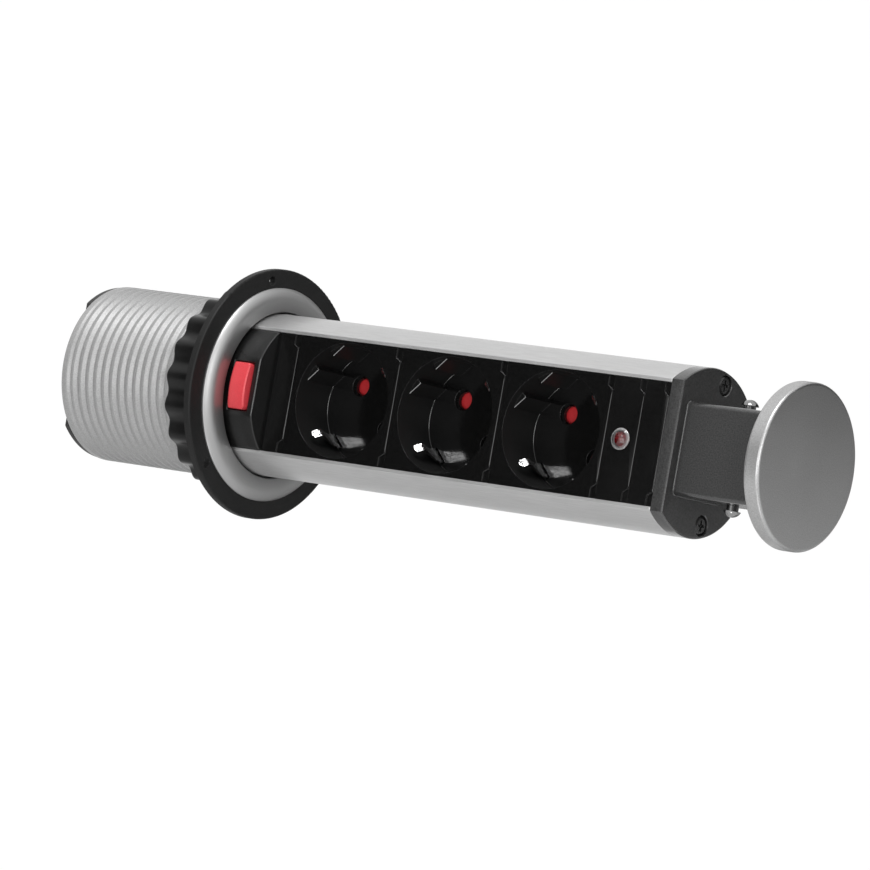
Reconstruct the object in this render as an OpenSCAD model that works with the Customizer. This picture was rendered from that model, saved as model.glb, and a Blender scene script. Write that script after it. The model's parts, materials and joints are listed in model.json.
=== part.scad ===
// Pop up desk socket: a tower of three earthed sockets that slides up through a threaded desk tube.
// Z runs up along the tube, the sockets face -Y, and z = 0 is the underside of the desk flange.

/* [Desk mount] */
// Thickness of the desk flange
flange_t = 2.5; // [2.2:0.1:4]
// Radius of the flange's upper edge
flange_edge_r = 0.7; // [0.3:0.1:1.2]
// Width of the flange outside the rim ring
flange_border = 6.2; // [5:0.1:9]
// Distance of each screw hole from the flange's edge
hole_edge = 3.7; // [2.4:0.1:5]
// Diameter of each flange screw hole
hole_d = 3; // [2:0.1:3.4]
// Number of flange screw holes
hole_count = 3; // [2:1:6]
// Depth of the relief inside the flange's bearing rim
seat_relief = 0.4; // [0.2:0.1:0.8]
// Width of the rim ring outside the tube's bore
rim_w = 7.9; // [7:0.1:12]
// Height of the rim ring above the flange
rim_h = 2.6; // [2.2:0.1:4]
// Width of the rim ring's rounded edge
rim_edge_w = 4; // [2.4:0.1:6]
// Fall of the ring's top over that edge
rim_edge_h = 2.1; // [1:0.1:2.1]
// Wall of the threaded tube
tube_wall = 1.95; // [1.6:0.05:3]
// Length of the tube below the flange
tube_len = 65.3; // [50:0.1:80]
// Pitch of the tube's thread
thread_pitch = 3.5; // [2.8:0.1:5]
// Depth of the thread's groove
thread_depth = 0.9; // [0.5:0.1:1.2]
// Plain length below the first groove of the thread
thread_end = 3.3; // [2:0.1:8]
// Plain length above the last groove of the thread
thread_top = 4; // [2:0.1:10]
// Width of the collar that hangs the tube in the flange
collar_w = 1.75; // [1:0.05:3]
// Thickness of that collar
collar_t = 1.2; // [0.8:0.1:1.4]
// Width of the guide key in the tube's bore
key_w = 6; // [4:0.5:9]
// Height of the key above the bore
key_h = 2.2; // [1.6:0.1:2.8]

/* [Clamp nut] */
// Thickness of the nut over its lobes
nut_wall = 3.85; // [3.2:0.05:8]
// Height of the nut
nut_h = 13.4; // [8:0.2:18]
// Number of lobes round the nut
nut_lobes = 20; // [12:1:28]
// Depth of the hollows between the lobes
lobe_depth = 1.8; // [0.8:0.1:2.2]
// Width of the clamp washer outside the tube
washer_w = 3.25; // [2:0.05:8]
// Thickness of the clamp washer
washer_t = 2.2; // [1.2:0.1:4]

/* [Column] */
// Distance of the front flat from the column's axis
flat_y = 17.25; // [15:0.05:20]
// Gap between the column and the tube's bore
col_gap = 0.65; // [0.4:0.05:1]
// Wall of the aluminium profile
col_wall = 1.8; // [1.5:0.1:2.2]
// Width of the metal lip on each side of the front
lip_w = 1.2; // [0.9:0.1:1.8]
// Thickness of the top end plate
plate_t = 4.9; // [4:0.1:7]
// Bevel along the end plate's upper edge
plate_edge = 0.5; // [0.2:0.1:1]
// Distance of the end screws inside the profile's wall
screw_inset = 2.4; // [2:0.1:3]
// Distance of the end screws behind the socket floors
screw_behind = 2.75; // [2.6:0.05:5]
// Diameter of the end screws' shanks
screw_d = 2.9; // [2.4:0.1:3.4]
// Length of the end screws in the profile
screw_len = 9; // [6:0.5:16]
// Diameter of the end screws' heads
screw_head_d = 6; // [5:0.1:6.4]
// Height of the end screws' heads
screw_head_h = 2; // [1.4:0.1:2.6]
// Wall of the screw channels in the profile
channel_wall = 1.1; // [0.8:0.1:1.4]
// Overlap of the stop lip below the tube's end
stop_lap = 1.5; // [0.8:0.1:1.9]
// Distance that the stop lip stands in front of the flat
stop_front = 3.15; // [1:0.05:5]
// Overlap of the stop lip at its slanted sides
stop_side = 0.2; // [0.2:0.05:0.6]
// Angle of those sides from the front
stop_turn = 70; // [60:1:76]
// Thickness of the bottom plate
bottom_t = 2.2; // [1.6:0.1:4]
// Height of the bottom plate's spigot in the profile
spigot_h = 5; // [3:0.5:10]
// Thickness of that spigot
spigot_t = 1.9; // [1.2:0.1:2.4]
// Bore of the cord inlet
inlet_d = 8.4; // [6:0.1:10]
// Wall of the cord inlet
inlet_wall = 3.5; // [2:0.1:5]
// Height of the cord inlet's flange
inlet_h = 3; // [2:0.1:6]

/* [Front stack] */
// Height of the guide's ledge above the desk
ledge_z = 15.8; // [14:0.1:22]
// Height of the blank spacer below the sockets
low_spacer_h = 9; // [5:0.1:16]
// Height of each socket
socket_h = 43; // [41:0.5:52]
// Height of the lamp spacer
lamp_spacer_h = 12.5; // [11:0.5:20]
// Height of the blank spacer above the lamp
top_spacer_h = 9.4; // [5:0.1:16]
// Depth of the spacers from front to back
spacer_d = 8.25; // [6:0.05:12]
// Width of the shallow notch in each upper corner of the front pieces
notch_w = 4; // [2.5:0.1:6]
// Height of that notch
notch_h = 2.1; // [1:0.1:3]
// Depth of that notch
notch_d = 0.5; // [0.3:0.1:1]
// Width of the slope at the notch's inner end
notch_slope = 1.4; // [0.6:0.1:2.4]
// Width and depth of the shadow groove along the foot of the lower spacer
foot_groove = 0.7; // [0.4:0.1:1.2]
// Seam between two front pieces
seam = 0.15; // [0.1:0.05:0.4]
// Diameter of the lamp lens
lens_d = 7; // [5:0.1:8]
// Height of the lens's dome above the front
lens_dome = 1.4; // [0.6:0.1:1.8]
// Wall of the lens, and width of its rear flange
lens_wall = 1; // [0.6:0.1:1.2]

/* [Sockets] */
// Diameter of the socket well
well_d = 38.2; // [36:0.1:41]
// Wall left beside the well
well_side = 0.57; // [0.4:0.01:1.5]
// Depth of the socket well
well_depth = 17; // [15:0.1:18.5]
// Thickness of the well's floor
floor_t = 2.5; // [2:0.1:3]
// Distance that the guide ribs stand out of the well's wall
rib_depth = 2.35; // [1.5:0.05:3]
// Width of the slot in the middle of each rib
rib_slot = 7; // [5:0.1:9]
// Depth of the rib tops below the front
rib_drop = 3.2; // [1.5:0.1:6]
// Distance between the two pin holes
pin_pitch = 19; // [17.5:0.1:20.5]
// Diameter of a pin hole
pin_hole_d = 5.3; // [5:0.1:5.8]
// Width of the funnel round a pin hole
funnel_w = 0.8; // [0.6:0.1:2]
// Depth of that funnel
funnel_h = 1.2; // [0.6:0.1:1.8]
// Angle of the pin line from the horizontal
socket_turn = 45; // [35:1:55]
// Width of an earth clip at the floor
clip_w = 5.8; // [4:0.1:6.4]
// Width of an earth clip at its tip
clip_tip_w = 3; // [2:0.1:3.8]
// Thickness of the earth clip's metal
clip_t = 0.8; // [0.5:0.1:0.9]
// Distance of the clip's leg inside the well's wall
clip_inset = 1.1; // [0.8:0.1:1.5]
// Height of an earth clip above the floor
clip_h = 13.8; // [10:0.1:15]
// Distance that the clip bulges inwards
clip_bulge = 2.4; // [1:0.1:3]
// Height of the clip's tip above the bulge
tip_h = 2.6; // [1.5:0.1:5]
// Distance that the clip's tip flares back out
clip_flare = 2.2; // [0.5:0.1:2.4]
// Thickness of a shutter
shutter_t = 2; // [1.4:0.1:2.4]
// Diameter of the shutter's pivot
pivot_d = 4; // [3:0.1:5]
// Lap of a shutter over the pin hole's edge
shutter_lap = 0.95; // [0.5:0.05:1.3]
// Outer diameter of the contact sleeves
sleeve_d = 6.4; // [6:0.1:7]
// Wall of the contact sleeves
sleeve_wall = 0.75; // [0.5:0.05:0.9]
// Thickness of the contact bars
bar_t = 0.8; // [0.5:0.1:1.2]
// Width of the line and neutral bars
rail_w = 7; // [6:0.1:9]
// Width of the earth bar
earth_bar_w = 4; // [3:0.1:5]
// Length of the bars' connection tabs
tab_len = 14; // [8:0.5:18]
// Thickness of the sockets' back plates
back_t = 2.4; // [1.6:0.1:4]
// Wall of the sleeve holders on the back plates
holder_wall = 1.7; // [1:0.1:2.5]

/* [Latch] */
// Distance of the guide block's round front inside the column's
guide_inset = 0.65; // [0.4:0.05:1.5]
// Depth of the flat facet on the guide block
facet_depth = 1.6; // [1:0.1:2.4]
// Height of the guide block
guide_h = 39.8; // [30:0.2:50]
// Width of the latch button
button_w = 15.5; // [12:0.1:17]
// Height of the latch button
button_h = 7.7; // [6:0.1:9]
// Gap from the button's top to the ledge
button_drop = 2.6; // [1:0.1:3]
// Gap from the button's round face to the tube's bore
button_gap = 0.4; // [0.3:0.05:1]
// Slope along the button's lower edge
button_slope = 1.2; // [0.4:0.1:2]
// Radius of the button's corners
button_corner = 1.2; // [0.4:0.1:1.5]
// Travel of the button
button_travel = 2.5; // [1.5:0.1:3]
// Width of the ears that hold the button in
ear_w = 1.6; // [1:0.1:2.4]
// Depth of those ears
ear_t = 3.3; // [2:0.1:4]
// Front wall of the guide block at the ears
guide_wall = 4; // [3:0.1:5]
// Turns of the latch spring
spring_turns = 6; // [4:1:8]
// Mean diameter of the latch spring
spring_d = 5.8; // [5.2:0.1:6.4]
// Diameter of the spring's wire
wire_d = 0.8; // [0.5:0.1:0.9]
// Room left in the spring when the button is pressed home
spring_spare = 1.2; // [0.8:0.1:3]
// Diameter of the peg inside the spring
peg_d = 3.4; // [2.4:0.1:3.8]
// Length of that peg
peg_len = 3; // [1:0.1:4]
// Thickness of the latch's back plate
latch_back_t = 2; // [1.2:0.1:3]
// Margin of that plate round the pocket
latch_back_w = 4; // [2.5:0.1:5]

/* [Pull disc] */
// Gap round the disc when it closes the bore
disc_gap = 1.2; // [0.6:0.1:1.5]
// Thickness of the pull disc
disc_t = 5.8; // [3:0.1:8]
// Radius of the disc's edges
disc_edge_r = 1; // [0.3:0.1:1.4]
// Width of the neck
neck_w = 29.8; // [26:0.2:34]
// Depth of the neck from front to back
neck_d = 27; // [20:0.5:30]
// Length of the neck
neck_h = 33.6; // [30:0.1:50]
// Radius of the neck's long edges
neck_edge_r = 1.6; // [1:0.1:4]
// Wall of the neck beside the disc's tongue
neck_wall = 2.5; // [1.6:0.1:4]
// Solid foot of the neck below the tongue
neck_foot = 7; // [4:0.5:10]
// Thickness of the disc's tongue
tongue_d = 12; // [8:0.5:16]
// Height of the neck screws above the end plate
neck_screw_z = 14.1; // [11:0.1:20]
// Diameter of the neck screws' domed heads
dome_d = 5.7; // [4.6:0.1:6.4]
// Height of the domed heads
dome_h = 2; // [1.4:0.1:2.6]
// Gap between the domed heads and the neck
dome_gap = 1.8; // [0.6:0.1:2.4]
// Width of the collar under the domed heads
dome_collar = 0.5; // [0.3:0.1:1]

/* [Fits] */
// Gap between pieces that don't move
slip = 0.1; // [0.05:0.01:0.15]
// Gap between pieces that move
run = 0.3; // [0.25:0.01:0.35]

/* [Hidden] */
$fn = 64;
eps = 0.01;

// Colours
silver_paint = [0.66, 0.66, 0.66];
aluminium = [0.74, 0.74, 0.75];
black_plastic = [0.09, 0.09, 0.09];
gloss_black = [0.05, 0.05, 0.05];
red_plastic = [0.8, 0.1, 0.1];
brass = [0.78, 0.62, 0.3];
steel = [0.8, 0.8, 0.8];
clear = [0.85, 0.85, 0.85, 0.4];

// Radii, from the socket well out to the desk flange
well_r = well_d / 2;
piece_half = well_r + well_side;
mouth_half = piece_half + slip;
flat_half = mouth_half + lip_w;
col_r = sqrt(flat_half * flat_half + flat_y * flat_y);
inner_r = col_r - col_wall;
bore_r = col_r + col_gap;
tube_r = bore_r + tube_wall;
collar_r = tube_r + collar_w;
nut_r = tube_r + nut_wall;
rim_r = bore_r + rim_w;
flange_r = rim_r + flange_border;
relief_r = nut_r + 2 * run;

// Thread and nut
groove_mouth = 0.54 * thread_pitch;
groove_root = 0.34 * thread_pitch;
groove_count = floor((tube_len - thread_top - thread_end) / thread_pitch) + 1;
hole_first = 45;
lobe_points = 12;

// Heights of the clamp, the column and its front pieces
rim_top = flange_t + rim_h;
washer_z = -run - washer_t;
nut_z = washer_z - slip - nut_h;
col_z = -tube_len - run;
low_spacer_z = ledge_z;
first_socket_z = low_spacer_z + low_spacer_h;
lamp_spacer_z = first_socket_z + 3 * socket_h;
lamp_z = lamp_spacer_z + 0.48 * lamp_spacer_h;
top_spacer_z = lamp_spacer_z + lamp_spacer_h;
plate_z = top_spacer_z + top_spacer_h;
neck_z = plate_z + plate_t;
neck_screw_at = neck_z + neck_screw_z;
disc_z = neck_z + neck_h;
disc_top = disc_z + disc_t;
travel = disc_top - rim_top;
function socket_z(k) = first_socket_z + (k - 0.5) * socket_h;

// Socket depths, from the front face back
front_y = -flat_y;
floor_y = front_y + well_depth;
floor_back_y = floor_y + floor_t;
shutter_y = floor_back_y + 2 * slip;
strap_y = shutter_y + shutter_t + 2 * run;
bar_y = strap_y + clip_t;
back_y = bar_y + bar_t;
pin_r = pin_pitch / 2;
pin_x = pin_r * cos(socket_turn);
pin_z = pin_r * sin(socket_turn);
sleeve_r = sleeve_d / 2;
holder_r = sleeve_r + slip + holder_wall;
rail_y = sqrt(inner_r * inner_r - pow(pin_x + rail_w / 2, 2)) - 3 * col_wall + run;
spacer_back_y = front_y + spacer_d;

// Earth clip
leg_r = well_r - clip_inset;
bulge_h = clip_h - tip_h;
chamber_r = leg_r - clip_t / 2;
slot_w = clip_w + run;
slot_low = leg_r - clip_t - run;
slot_high = leg_r + 2 * run;

// Screw channels of the profile, and what passes between them
screw_y = floor_back_y + screw_behind;
screw_r = inner_r - screw_inset;
screw_x = sqrt(screw_r * screw_r - screw_y * screw_y);
core_r = screw_d / 2 + slip / 2;
channel_r = core_r + channel_wall;
screw_seat = screw_head_h + 2 * slip;
body_half = mouth_half + lip_w - run;
body_back = screw_y - channel_r - run;
chamber_half = screw_x - channel_r - run;
notch_in = piece_half - notch_w - notch_slope / 2;
notch_out = notch_in + notch_slope;
back_half_h = socket_h / 2 - back_t;

// Key and its groove, with the key's top just below the closed disc
key_y = bore_r - key_h;
key_top = disc_z - travel - slip;
groove_half = key_w / 2 + run;
groove_floor = key_y - run;

// Latch, from the front back
guide_r = col_r - guide_inset;
facet_y = facet_depth - guide_r;
button_top = ledge_z - button_drop;
button_z = button_top - button_h;
button_mid = button_z + button_h / 2;
button_r = bore_r - button_gap;
ear_front_y = facet_y + guide_wall;
button_back_y = ear_front_y + slip + ear_t;
guide_back_y = button_back_y + spring_turns * wire_d + button_travel + spring_spare;
ear_half = button_w / 2 + ear_w;

// Pull
disc_r = bore_r - disc_gap;
tongue_w = neck_w - 2 * (neck_wall + slip);
tongue_len = neck_h - neck_foot;
dome_x = neck_w / 2 + dome_gap;

// Cord inlet
bush_r = inlet_d / 2 + inlet_wall;

// Cylinder along Y from y0 to y1
module along_y(y0, y1, r) {
  translate([0, y0, 0])
    rotate([-90, 0, 0])
      cylinder(r = r, h = y1 - y0);
}

// Box between two corners
module box(low, high) {
  translate(low)
    cube(high - low);
}

// Rectangle with round corners, centred
module rounded_rect(w, d, r) {
  square([w - 2 * r, d], center = true);
  square([w, d - 2 * r], center = true);
  for (x = [-1, 1], y = [-1, 1])
    translate([x * (w / 2 - r), y * (d / 2 - r)])
      circle(r = r);
}

// Children stood at the centre of socket k, with the pin line along the local X
module at_socket(k) {
  translate([0, 0, socket_z(k)])
    rotate([0, -socket_turn, 0])
      children();
}

// Children copied to both sides of the centre plane
module both_sides() {
  children();
  mirror([1, 0, 0])
    children();
}

// Children stood on both end screws' axes
module at_end_screws() {
  both_sides()
    translate([screw_x, screw_y, 0])
      children();
}

// Desk mount

module thread_groove() {
  polygon([
    [eps, -groove_mouth / 2], [-thread_depth, -groove_root / 2],
    [-thread_depth, groove_root / 2], [eps, groove_mouth / 2]
  ]);
}

module threaded_tube() {
  key_root_r = (bore_r + tube_r - thread_depth) / 2;
  color(silver_paint) {
    rotate_extrude()
      difference() {
        union() {
          translate([bore_r, -tube_len])
            square([tube_wall, tube_len + flange_t]);
          translate([bore_r, flange_t - collar_t])
            square([collar_r - bore_r, collar_t]);
        }
        for (i = [0 : groove_count - 1])
          translate([tube_r, thread_end - tube_len + i * thread_pitch])
            thread_groove();
      }
    // Key that the column's back groove runs on
    intersection() {
      box([-key_w / 2, key_y, -tube_len], [key_w / 2, tube_r, key_top]);
      translate([0, 0, -tube_len])
        cylinder(r = key_root_r, h = tube_len + flange_t);
    }
  }
}

module desk_flange() {
  inner = tube_r + slip;
  color(black_plastic)
    difference() {
      rotate_extrude()
        difference() {
          union() {
            translate([inner, 0])
              square([flange_r - inner, flange_t - flange_edge_r]);
            translate([inner, 0])
              square([flange_r - inner - flange_edge_r, flange_t]);
            translate([flange_r - flange_edge_r, flange_t - flange_edge_r])
              circle(r = flange_edge_r);
          }
          // Seat of the tube's collar, and the relief inside the bearing rim
          translate([tube_r, flange_t - collar_t])
            square([collar_w + slip, collar_t + eps]);
          translate([tube_r, -eps])
            square([relief_r - tube_r, seat_relief + eps]);
        }
      for (i = [0 : hole_count - 1])
        rotate(hole_first + i * 360 / hole_count)
          translate([0, hole_edge - flange_r, -eps])
            cylinder(d = hole_d, h = flange_t + 2 * eps);
    }
}

module rim_ring() {
  edge_x = rim_r - rim_edge_w;
  // Radius of the arc that is level at the top and falls by the edge's height
  edge_r = (rim_edge_w * rim_edge_w + rim_edge_h * rim_edge_h) / (2 * rim_edge_h);
  color(silver_paint)
    rotate_extrude() {
      translate([bore_r, flange_t])
        square([edge_x - bore_r + eps, rim_h]);
      intersection() {
        translate([edge_x, flange_t])
          square([rim_edge_w, rim_h]);
        translate([edge_x, rim_top - edge_r])
          circle(r = edge_r);
      }
    }
}

module clamp_washer() {
  color(black_plastic)
    translate([0, 0, washer_z])
      difference() {
        cylinder(r = tube_r + washer_w, h = washer_t);
        translate([0, 0, -eps])
          cylinder(r = tube_r + run, h = washer_t + 2 * eps);
      }
}

function lobe_r(a) = nut_r - lobe_depth / 2 * (1 - cos(nut_lobes * a));

module clamp_nut() {
  points = nut_lobes * lobe_points;
  color(black_plastic)
    translate([0, 0, nut_z])
      difference() {
        linear_extrude(height = nut_h)
          polygon([
            for (i = [0 : points - 1])
              let (a = i * 360 / points)
                lobe_r(a) * [sin(a), -cos(a)]
          ]);
        translate([0, 0, -eps])
          cylinder(r = tube_r + run, h = nut_h + 2 * eps);
      }
}

// Column

module profile_section() {
  difference() {
    union() {
      difference() {
        circle(r = col_r);
        circle(r = inner_r);
        translate([-col_r, -2 * col_r])
          square([2 * col_r, 2 * col_r - flat_y]);
        translate([-mouth_half, -col_r])
          square([2 * mouth_half, col_r]);
      }
      // Screw channels and the back of the key groove
      intersection() {
        circle(r = col_r - col_wall / 2);
        union() {
          for (s = [-1, 1])
            translate([s * screw_x, screw_y])
              circle(r = channel_r);
          translate([-groove_half - col_wall, groove_floor - col_wall])
            square([2 * (groove_half + col_wall), col_r]);
        }
      }
    }
    for (s = [-1, 1])
      translate([s * screw_x, screw_y])
        circle(r = core_r);
    translate([-groove_half, groove_floor])
      square([2 * groove_half, col_r]);
  }
}

module profile() {
  color(aluminium)
    translate([0, 0, col_z])
      linear_extrude(height = plate_z - col_z)
        profile_section();
}

// Outline of a front piece, back to the plane y
module stack_section(y) {
  intersection() {
    union() {
      translate([-piece_half, front_y])
        square([2 * piece_half, flat_y]);
      circle(r = inner_r - slip);
    }
    translate([-body_half, front_y])
      square([2 * body_half, y - front_y]);
  }
}

// Front piece of height h from z up, and back to the plane y
module stack_piece(z, h, y) {
  top = z + h - seam;
  difference() {
    translate([0, 0, z])
      linear_extrude(height = top - z)
        stack_section(y);
    // Shallow notches in its upper corners
    both_sides()
      translate([0, front_y + notch_d, 0])
        rotate([90, 0, 0])
          linear_extrude(height = notch_d + eps)
            polygon([
              [notch_in, top + eps], [notch_out, top - notch_h],
              [col_r, top - notch_h], [col_r, top + eps]
            ]);
  }
}

module end_plate() {
  intersection() {
    translate([0, 0, plate_z])
      rotate_extrude()
        polygon([
          [0, 0], [col_r, 0], [col_r, plate_t - plate_edge],
          [col_r - plate_edge, plate_t], [0, plate_t]
        ]);
    box([-col_r, front_y, plate_z], [col_r, col_r, neck_z]);
  }
}

module end_cap() {
  bevel = plate_edge * sqrt(2);
  color(black_plastic)
    difference() {
      union() {
        end_plate();
        translate([0, 0, neck_z - eps])
          linear_extrude(height = neck_h + eps)
            rounded_rect(neck_w, neck_d, neck_edge_r);
      }
      // Bevel along the front edge of the plate
      translate([0, front_y, neck_z])
        rotate([45, 0, 0])
          cube([2 * col_r, bevel, bevel], center = true);
      // Pocket for the disc's tongue and holes for the side screws
      box(
        [-tongue_w / 2 - slip, -tongue_d / 2 - slip, disc_z - tongue_len - slip],
        [tongue_w / 2 + slip, tongue_d / 2 + slip, disc_z + eps]
      );
      translate([0, 0, neck_screw_at])
        rotate([0, 90, 0])
          cylinder(r = core_r + slip, h = neck_w + 2 * slip, center = true);
      // End screw holes with their head seats
      at_end_screws() {
        translate([0, 0, plate_z - eps])
          cylinder(r = core_r + slip, h = plate_t + 2 * eps);
        translate([0, 0, neck_z - screw_seat])
          cylinder(r = screw_head_d / 2 + run, h = screw_seat + eps);
      }
      box([-groove_half, groove_floor, plate_z - eps], [groove_half, col_r, neck_z + eps]);
    }
}

// Cross recess screw whose head rests on z = 0, with its shank below
module pan_screw(length) {
  crown = screw_head_h / 4;
  recess_w = 0.58 * screw_head_d;
  recess_h = 0.6 * screw_head_h;
  difference() {
    union() {
      cylinder(d = screw_head_d, h = screw_head_h - crown);
      translate([0, 0, screw_head_h - crown])
        cylinder(d1 = screw_head_d, d2 = 0.77 * screw_head_d, h = crown);
      translate([0, 0, -length])
        cylinder(d = screw_d, h = length + eps);
    }
    for (a = [0, 90])
      translate([0, 0, screw_head_h])
        rotate(a)
          cube([recess_w, recess_w / 4, 2 * recess_h], center = true);
  }
}

module end_screws() {
  color(gloss_black)
    at_end_screws()
      translate([0, 0, neck_z - screw_seat])
        pan_screw(plate_t - screw_seat + screw_len);
}

module pull_disc() {
  color(silver_paint)
    difference() {
      union() {
        translate([0, 0, disc_z])
          rotate_extrude() {
            square([disc_r - disc_edge_r, disc_t]);
            translate([0, disc_edge_r])
              square([disc_r, disc_t - 2 * disc_edge_r]);
            for (z = [disc_edge_r, disc_t - disc_edge_r])
              translate([disc_r - disc_edge_r, z])
                circle(r = disc_edge_r);
          }
        box(
          [-tongue_w / 2, -tongue_d / 2, disc_z - tongue_len],
          [tongue_w / 2, tongue_d / 2, disc_z + eps]
        );
      }
      translate([0, 0, neck_screw_at])
        rotate([0, 90, 0])
          cylinder(r = core_r, h = tongue_w + 2 * slip, center = true);
    }
}

module dome_screw() {
  // Radius of the sphere whose cap has the head's width and height
  sphere_r = (dome_d * dome_d / 4 + dome_h * dome_h) / (2 * dome_h);
  intersection() {
    cylinder(d = dome_d, h = dome_h);
    translate([0, 0, dome_h - sphere_r])
      sphere(r = sphere_r);
  }
  translate([0, 0, -dome_gap])
    cylinder(r = screw_d / 2 + dome_collar, h = dome_gap + eps);
  translate([0, 0, -dome_gap - screw_len])
    cylinder(d = screw_d, h = screw_len + eps);
}

module neck_screws() {
  color(steel)
    both_sides()
      translate([dome_x, 0, neck_screw_at])
        rotate([0, 90, 0])
          dome_screw();
}

// Latch

module guide_block() {
  color(black_plastic)
    difference() {
      translate([0, 0, ledge_z - guide_h])
        linear_extrude(height = guide_h)
          union() {
            intersection() {
              circle(r = guide_r);
              translate([-piece_half, facet_y])
                square([2 * piece_half, guide_back_y - facet_y]);
            }
            stack_section(guide_back_y);
          }
      // Window for the button and a wider pocket for its ears
      box(
        [-button_w / 2 - run, facet_y - eps, button_z - run],
        [button_w / 2 + run, guide_back_y + eps, button_top + run]
      );
      box(
        [-ear_half - run, ear_front_y, button_z - run],
        [ear_half + run, guide_back_y + eps, button_top + run]
      );
    }
}

module latch_button() {
  upper = button_slope / 4;
  color(red_plastic) {
    intersection() {
      translate([0, button_back_y, button_mid])
        rotate([90, 0, 0])
          linear_extrude(height = button_r)
            rounded_rect(button_w, button_h, button_corner);
      // Round face that follows the bore, with a thumb slope along its lower edge
      rotate_extrude()
        polygon([
          [0, button_z], [button_r - button_slope, button_z],
          [button_r, button_z + button_slope], [button_r, button_top - upper],
          [button_r - upper, button_top], [0, button_top]
        ]);
    }
    box(
      [-ear_half, ear_front_y + slip, button_z + button_corner],
      [ear_half, button_back_y, button_top - button_corner]
    );
  }
}

// Helix of the latch spring, wound along Y
wire_r = wire_d / 2;
wire_sides = 6;
turn_rings = 8;
spring_rings = turn_rings * spring_turns;
spring_start = button_back_y + wire_r + slip;
spring_pitch = (guide_back_y - wire_r - slip - spring_start) / spring_turns;

function spring_point(ring, side) =
  let (a = ring * 360 / turn_rings, b = side * 360 / wire_sides)
    let (r = spring_d / 2 + wire_r * cos(b))
      [
        r * cos(a),
        spring_start + ring * spring_pitch / turn_rings + wire_r * sin(b),
        button_mid + r * sin(a)
      ];

// Least gap, measured between the rings of one turn and the next
spring_gap = min([
  for (ring = [0 : spring_rings - turn_rings], s = [0 : wire_sides - 1], t = [0 : wire_sides - 1])
    norm(spring_point(ring + turn_rings, t) - spring_point(ring, s))
]);
echo("least gap between the spring's turns, mm", spring_gap);

module latch_spring() {
  last = spring_rings * wire_sides;
  color(steel)
    polyhedron(
      points = [
        for (ring = [0 : spring_rings], s = [0 : wire_sides - 1])
          spring_point(ring, s)
      ],
      faces = [
        for (ring = [0 : spring_rings - 1], s = [0 : wire_sides - 1], half = [0, 1])
          let (a = ring * wire_sides + s, b = ring * wire_sides + (s + 1) % wire_sides)
            half == 0 ? [a, b + wire_sides, b] : [a, a + wire_sides, b + wire_sides],
        for (s = [1 : wire_sides - 2])
          [0, s, s + 1],
        for (s = [1 : wire_sides - 2])
          [last, last + s + 1, last + s]
      ]
    );
}

module latch_back() {
  color(black_plastic) {
    box(
      [-button_w / 2 - latch_back_w, guide_back_y, button_z - latch_back_w],
      [button_w / 2 + latch_back_w, guide_back_y + latch_back_t, ledge_z]
    );
    translate([0, 0, button_mid])
      along_y(guide_back_y - peg_len, guide_back_y + eps, peg_d / 2);
  }
}

// Front stack

module lower_spacer() {
  color(gloss_black)
    difference() {
      stack_piece(low_spacer_z, low_spacer_h, spacer_back_y);
      box(
        [-col_r, front_y - eps, low_spacer_z - eps],
        [col_r, front_y + foot_groove, low_spacer_z + foot_groove]
      );
    }
}

module upper_spacer() {
  color(gloss_black)
    stack_piece(top_spacer_z, top_spacer_h + seam, spacer_back_y);
}

// The lens's rear flange sits in a counterbore as deep as twice its wall
module led_spacer() {
  hole_r = lens_d / 2 + slip;
  color(gloss_black)
    difference() {
      stack_piece(lamp_spacer_z, lamp_spacer_h, spacer_back_y);
      translate([0, 0, lamp_z]) {
        along_y(front_y - eps, spacer_back_y + eps, hole_r);
        along_y(spacer_back_y - 2 * lens_wall, spacer_back_y + eps, hole_r + lens_wall);
      }
    }
}

module led_lens() {
  lens_r = lens_d / 2;
  dome_r = (lens_r * lens_r + lens_dome * lens_dome) / (2 * lens_dome);
  color(clear)
    translate([0, 0, lamp_z])
      difference() {
        union() {
          along_y(front_y, spacer_back_y, lens_r);
          along_y(spacer_back_y - 2 * lens_wall + slip, spacer_back_y, lens_r + lens_wall);
          intersection() {
            along_y(front_y - lens_dome, front_y + eps, lens_r);
            translate([0, front_y - lens_dome + dome_r, 0])
              sphere(r = dome_r);
          }
        }
        along_y(front_y, spacer_back_y + eps, lens_r - lens_wall);
      }
}

module indicator_bulb() {
  bulb_r = lens_d / 2 - lens_wall - run;
  tip_y = front_y + run;
  color(red_plastic)
    translate([0, tip_y + bulb_r, lamp_z]) {
      along_y(0, spacer_d, bulb_r);
      sphere(r = bulb_r);
    }
}

// Sockets

// One half of a guide rib, beside its slot
module half_rib() {
  box(
    [well_r - rib_depth, front_y + rib_drop, rib_slot / 2],
    [well_r + eps, floor_y + eps, well_r]
  );
}

module socket_well() {
  difference() {
    along_y(front_y - eps, floor_y, well_r);
    both_sides() {
      half_rib();
      mirror([0, 0, 1])
        half_rib();
    }
  }
  // Pin holes with a funnel at the mouth
  both_sides()
    translate([pin_r, floor_y - eps, 0]) {
      along_y(0, floor_t + 2 * eps, pin_hole_d / 2);
      rotate([-90, 0, 0])
        cylinder(r1 = pin_hole_d / 2 + funnel_w, r2 = pin_hole_d / 2, h = funnel_h);
    }
  // Slots that the earth clips come up through
  for (a = [0, 180])
    rotate([0, a, 0])
      box([-slot_w / 2, floor_y - eps, slot_low], [slot_w / 2, back_y + eps, slot_high]);
}

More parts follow.
